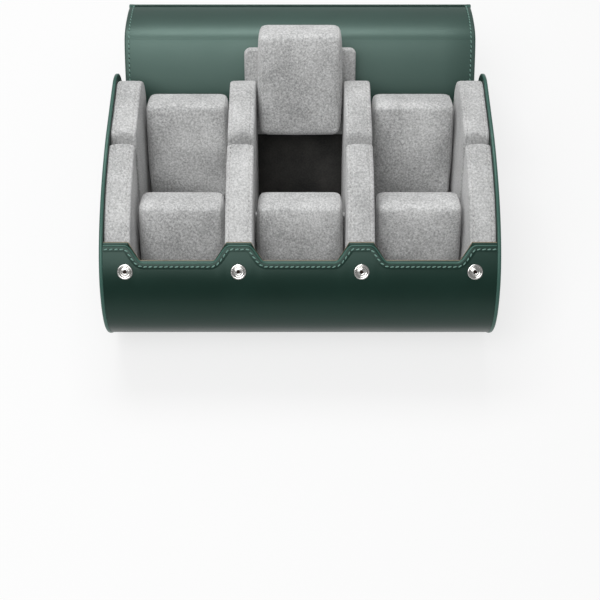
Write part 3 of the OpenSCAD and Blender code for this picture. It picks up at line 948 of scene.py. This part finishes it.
def rounded_box(width, low, high, r, inset):
    """Outline of a plate with round corners, drawn in by an inset."""
    corner = max(r - inset, 0.3)
    x, y0, y1 = width / 2 - inset, low + inset, high - inset
    spots = [(x - corner, y1 - corner, 0), (-x + corner, y1 - corner, 90),
             (-x + corner, y0 + corner, 180), (x - corner, y0 + corner, 270)]
    return [(cx + corner * math.cos(math.radians(a + t)), cy + corner * math.sin(math.radians(a + t)))
            for cx, cy, a in spots for t in range(0, 91, 15)]


def plate(row_name, row, bay, bay_name, lift):
    foot = (FLOOR_Z + 0.3 + PLATE_T / 2 * SLOPE_UP[0] - row[1]) / SLOPE_UP[1]
    rings = []
    for t in range(0, 181, 20):
        inset = 1.5 * (1 - math.sin(math.radians(t)))
        height = -PLATE_T / 2 * math.cos(math.radians(t))
        flat = rounded_box(PLATE_W, foot, PLATE_TOP, PLATE_R, inset)
        rings.append(on_slope(row, bay, lift, np.array([(x, y, height) for x, y in flat])))
    label = f"{row_name}_{bay_name}"
    return piece(f"wrapped_plate_{label}", [skin(rings)], divider_suede,
                 f"cushion_{label}", [f"plate_{label}"])


BAYS, ROWS = ("left", "middle", "right"), (("front", FRONT_ROW), ("back", BACK_ROW))
for row_name, row in ROWS:
    for bay, bay_name in enumerate(BAYS):
        plate(row_name, row, bay, bay_name, LIFT if (row_name, bay) == ("back", 1) else 0)
print("plates wrapped")

# %% [markdown]
# ## Cushions
#
# A cushion is foam in a suede cover. One is blown up as cloth from a slightly smaller
# shape, lying flat, and then each place gets its own copy with its own soft dents. The
# seams are laid on the finished cover.

# %% Blow up one cushion
CUSHION_W, CUSHION_LEN, CUSHION_FALL, CUSHION_T = 52, 67, 5, 28
START_SMALLER, MOVE_CAP, BACK_BAND = 0.8, 2.4, 2.5
VOXEL, AIR, PUFF_FRAMES = 4, 4, 20


def pillow_start():
    """A plump closed shape on a flat back, in the cushion's own place on its plate."""
    rings = []
    full = CUSHION_T - PLATE_T / 2 - START_SMALLER
    for t in np.linspace(0, 1, 9):
        height = PLATE_T / 2 + 0.2 + full * t
        draw = START_SMALLER + 2.5 * max(0, (0.16 - t) / 0.16) ** 2 + 2.0 * max(0, (t - 0.8) / 0.2) ** 2
        flat = rounded_box(CUSHION_W, -CUSHION_FALL - CUSHION_LEN, -CUSHION_FALL, 4.5, draw)
        rings.append(np.array([(x, y, height) for x, y in flat]))
    return skin(rings)


def blown_up():
    """The cushion's cover after its air is let in, as an object lying flat."""
    cover = piece("cushion_cover", [pillow_start()], cushion_suede)
    cover.data.remesh_voxel_size = VOXEL * MM
    bpy.context.view_layer.objects.active = cover
    cover.select_set(True)
    bpy.ops.object.voxel_remesh()
    rest = np.array([v.co for v in cover.data.vertices])
    back = cover.vertex_groups.new(name="back")
    back.add([i for i, p in enumerate(rest) if p[2] < (PLATE_T / 2 + BACK_BAND) * MM], 1.0, "REPLACE")
    cloth = cover.modifiers.new("cloth", "CLOTH")
    cloth.settings.vertex_group_mass = "back"
    cloth.settings.use_pressure = True
    cloth.settings.uniform_pressure_force = AIR
    cloth.settings.effector_weights.gravity = 0
    cloth.point_cache.frame_start, cloth.point_cache.frame_end = 1, PUFF_FRAMES
    for frame_number in range(1, PUFF_FRAMES + 1):
        bpy.context.scene.frame_set(frame_number)
    puffed = cover.evaluated_get(bpy.context.evaluated_depsgraph_get())
    moved = np.array([v.co for v in puffed.data.vertices]) - rest
    cover.modifiers.remove(cloth)
    far = np.linalg.norm(moved, axis=1, keepdims=True)
    moved *= np.minimum(1, MOVE_CAP * MM / np.maximum(far, 1e-9))
    for vertex, place in zip(cover.data.vertices, rest + moved):
        vertex.co = place
    bpy.context.scene.frame_set(1)
    smooth = cover.modifiers.new("smooth", "SUBSURF")
    smooth.levels = smooth.render_levels = 1
    finished = cover.evaluated_get(bpy.context.evaluated_depsgraph_get())
    mesh = bpy.data.meshes.new_from_object(finished)
    bpy.data.objects.remove(cover)
    points = np.array([v.co for v in mesh.vertices]) / MM
    faces = [tuple(polygon.vertices) for polygon in mesh.polygons]
    return points, faces


cover_points, cover_faces = blown_up()
print("cushion cover:", len(cover_points), "points from", cover_points.min(0).round(1),
      "to", cover_points.max(0).round(1))

# %% [markdown]
# ## Cushions in their bays
#
# All six cushions are cut alike. Blowing up six covers would take six times as long,
# so each bay gets a copy of the one cover, dented with noise that is read at another
# place for every bay. The seams are laid where the cover crosses a plane near each side.

# %% Sew a cushion into each bay
def section_loop(points, faces, x):
    """Where a cover crosses the plane at x, as one closed path of (up, out) points."""
    crossing = {}
    for face in faces:
        hits = []
        for i, j in zip(face, face[1:] + face[:1]):
            a, b = points[i], points[j]
            if (a[0] - x) * (b[0] - x) < 0:
                t = (x - a[0]) / (b[0] - a[0])
                hits.append(a + (b - a) * t)
        if len(hits) == 2:
            middle = (hits[0] + hits[1]) / 2
            crossing[math.atan2(middle[2] - 15, middle[1] + 38)] = middle
    return np.array([crossing[angle] for angle in sorted(crossing)])


def cushion(row_name, row, bay, bay_name, lift):
    points = cover_points.copy()
    shift = Vector((17.0 * bay, 31.0 if row_name == "back" else 0.0, 5.0))
    for p in points:
        share = min(1, max(0, (p[2] - 8) / 10))
        dent = noise.noise(Vector(p) * 0.05 + shift) * 1.1 + noise.noise(Vector(p) * 0.13 + shift) * 0.35
        p[2] += dent * share
    seams = []
    for side in (-1, 1):
        loop = section_loop(points, cover_faces, side * (CUSHION_W / 2 - 2.6))
        face = loop[loop[:, 2] > 6]
        break_at = int(np.argmax(np.linalg.norm(np.diff(face, axis=0), axis=1)))
        face = np.roll(face, -(break_at + 1), 0)
        along = tangents(face)
        out = unit(np.cross(along, (side * 1.0, 0, 0)))
        centre = face.mean(0)
        out *= np.sign(np.sum(out * (face - centre), axis=1, keepdims=True))
        out = unit(out + np.array([side * 0.6, 0, 0]))
        placed = on_slope(row, bay, lift, face)
        out_placed = on_slope(row, bay, lift, face + out) - placed
        seams.append(stitches(placed, out_placed, thread_r=0.24, pitch=2.1))
    label = f"{row_name}_{bay_name}"
    made = piece(f"suede_cushion_{label}", [(on_slope(row, bay, lift, points), cover_faces), join(seams)],
                 [cushion_suede, thread_grey], f"cushion_{label}",
                 [f"cushion_{label}", f"core_{label}"], sharp=180)
    return made


for row_name, row in ROWS:
    for bay, bay_name in enumerate(BAYS):
        cushion(row_name, row, bay, bay_name, LIFT if (row_name, bay) == ("back", 1) else 0)
print("cushions sewn")

# %% [markdown]
# ## Floor and light
#
# The case stands on a plain pale sheet under large soft lamps. More light would make
# the floor white, but would wash out the case too, so the floor's own finish does it:
# the camera and reflections see it mostly plain white, and all else sees pale paper.

# %% Lay the floor
WHITE_SHARE, FLOOR_HALF = 0.72, 3.0


def floor_finish():
    """Pale paper. To the camera, in metal and through glass it is mostly plain white."""
    finish = Finish("floor")
    finish.set(Base_Color=(0.86, 0.86, 0.86, 1), Roughness=0.9)
    rays = [finish.node("ShaderNodeLightPath", output=kind)
            for kind in ("Is Camera Ray", "Is Glossy Ray", "Is Transmission Ray")]
    white = finish.node("ShaderNodeEmission", None, {"Color": (1, 1, 1, 1), "Strength": 1.0})
    paper = Socket(finish, finish.shader.outputs[0])
    mixed = finish.node("ShaderNodeMixShader", None,
                        {0: (rays[0] + rays[1] + rays[2]) * WHITE_SHARE, 1: paper, 2: white})
    finish.feed(finish.tree.nodes["Material Output"].inputs["Surface"], mixed)
    return finish.material


floor_mesh = bpy.data.meshes.new("floor")
floor_mesh.from_pydata(
    [(x, y, 0) for x, y in ((-FLOOR_HALF, -FLOOR_HALF), (FLOOR_HALF, -FLOOR_HALF),
                            (FLOOR_HALF, FLOOR_HALF), (-FLOOR_HALF, FLOOR_HALF))],
    [], [(0, 1, 2, 3)])
floor = bpy.data.objects.new("floor", floor_mesh)
floor_mesh.materials.append(floor_finish())
bpy.context.scene.collection.objects.link(floor)
print("floor:", 2 * FLOOR_HALF, "m across")

# %% Hang the lamps
LAMP_AIM, WORLD_STRENGTH = Vector((0, 0.05, 0.05)), 0.28


def lamp(name, place, size, watts):
    data = bpy.data.lights.new(name, "AREA")
    data.shape, data.size, data.size_y, data.energy = "RECTANGLE", size[0], size[1], watts
    made = bpy.data.objects.new(name, data)
    made.location = place
    made.rotation_euler = (LAMP_AIM - Vector(place)).to_track_quat("-Z", "Y").to_euler()
    bpy.context.scene.collection.objects.link(made)


lamp("top_lamp", (-0.30, -0.52, 1.18), (1.0, 0.8), 9.5)
lamp("back_lamp", (-0.15, 0.67, 1.14), (0.80, 0.40), 8)
world = bpy.data.worlds.new("studio")
bpy.context.scene.world = world
world.use_nodes = True
world.node_tree.nodes["Background"].inputs["Color"].default_value = (1, 1, 1, 1)
world.node_tree.nodes["Background"].inputs["Strength"].default_value = WORLD_STRENGTH
bpy.context.scene.view_settings.view_transform = "Standard"
print("lamps hung")
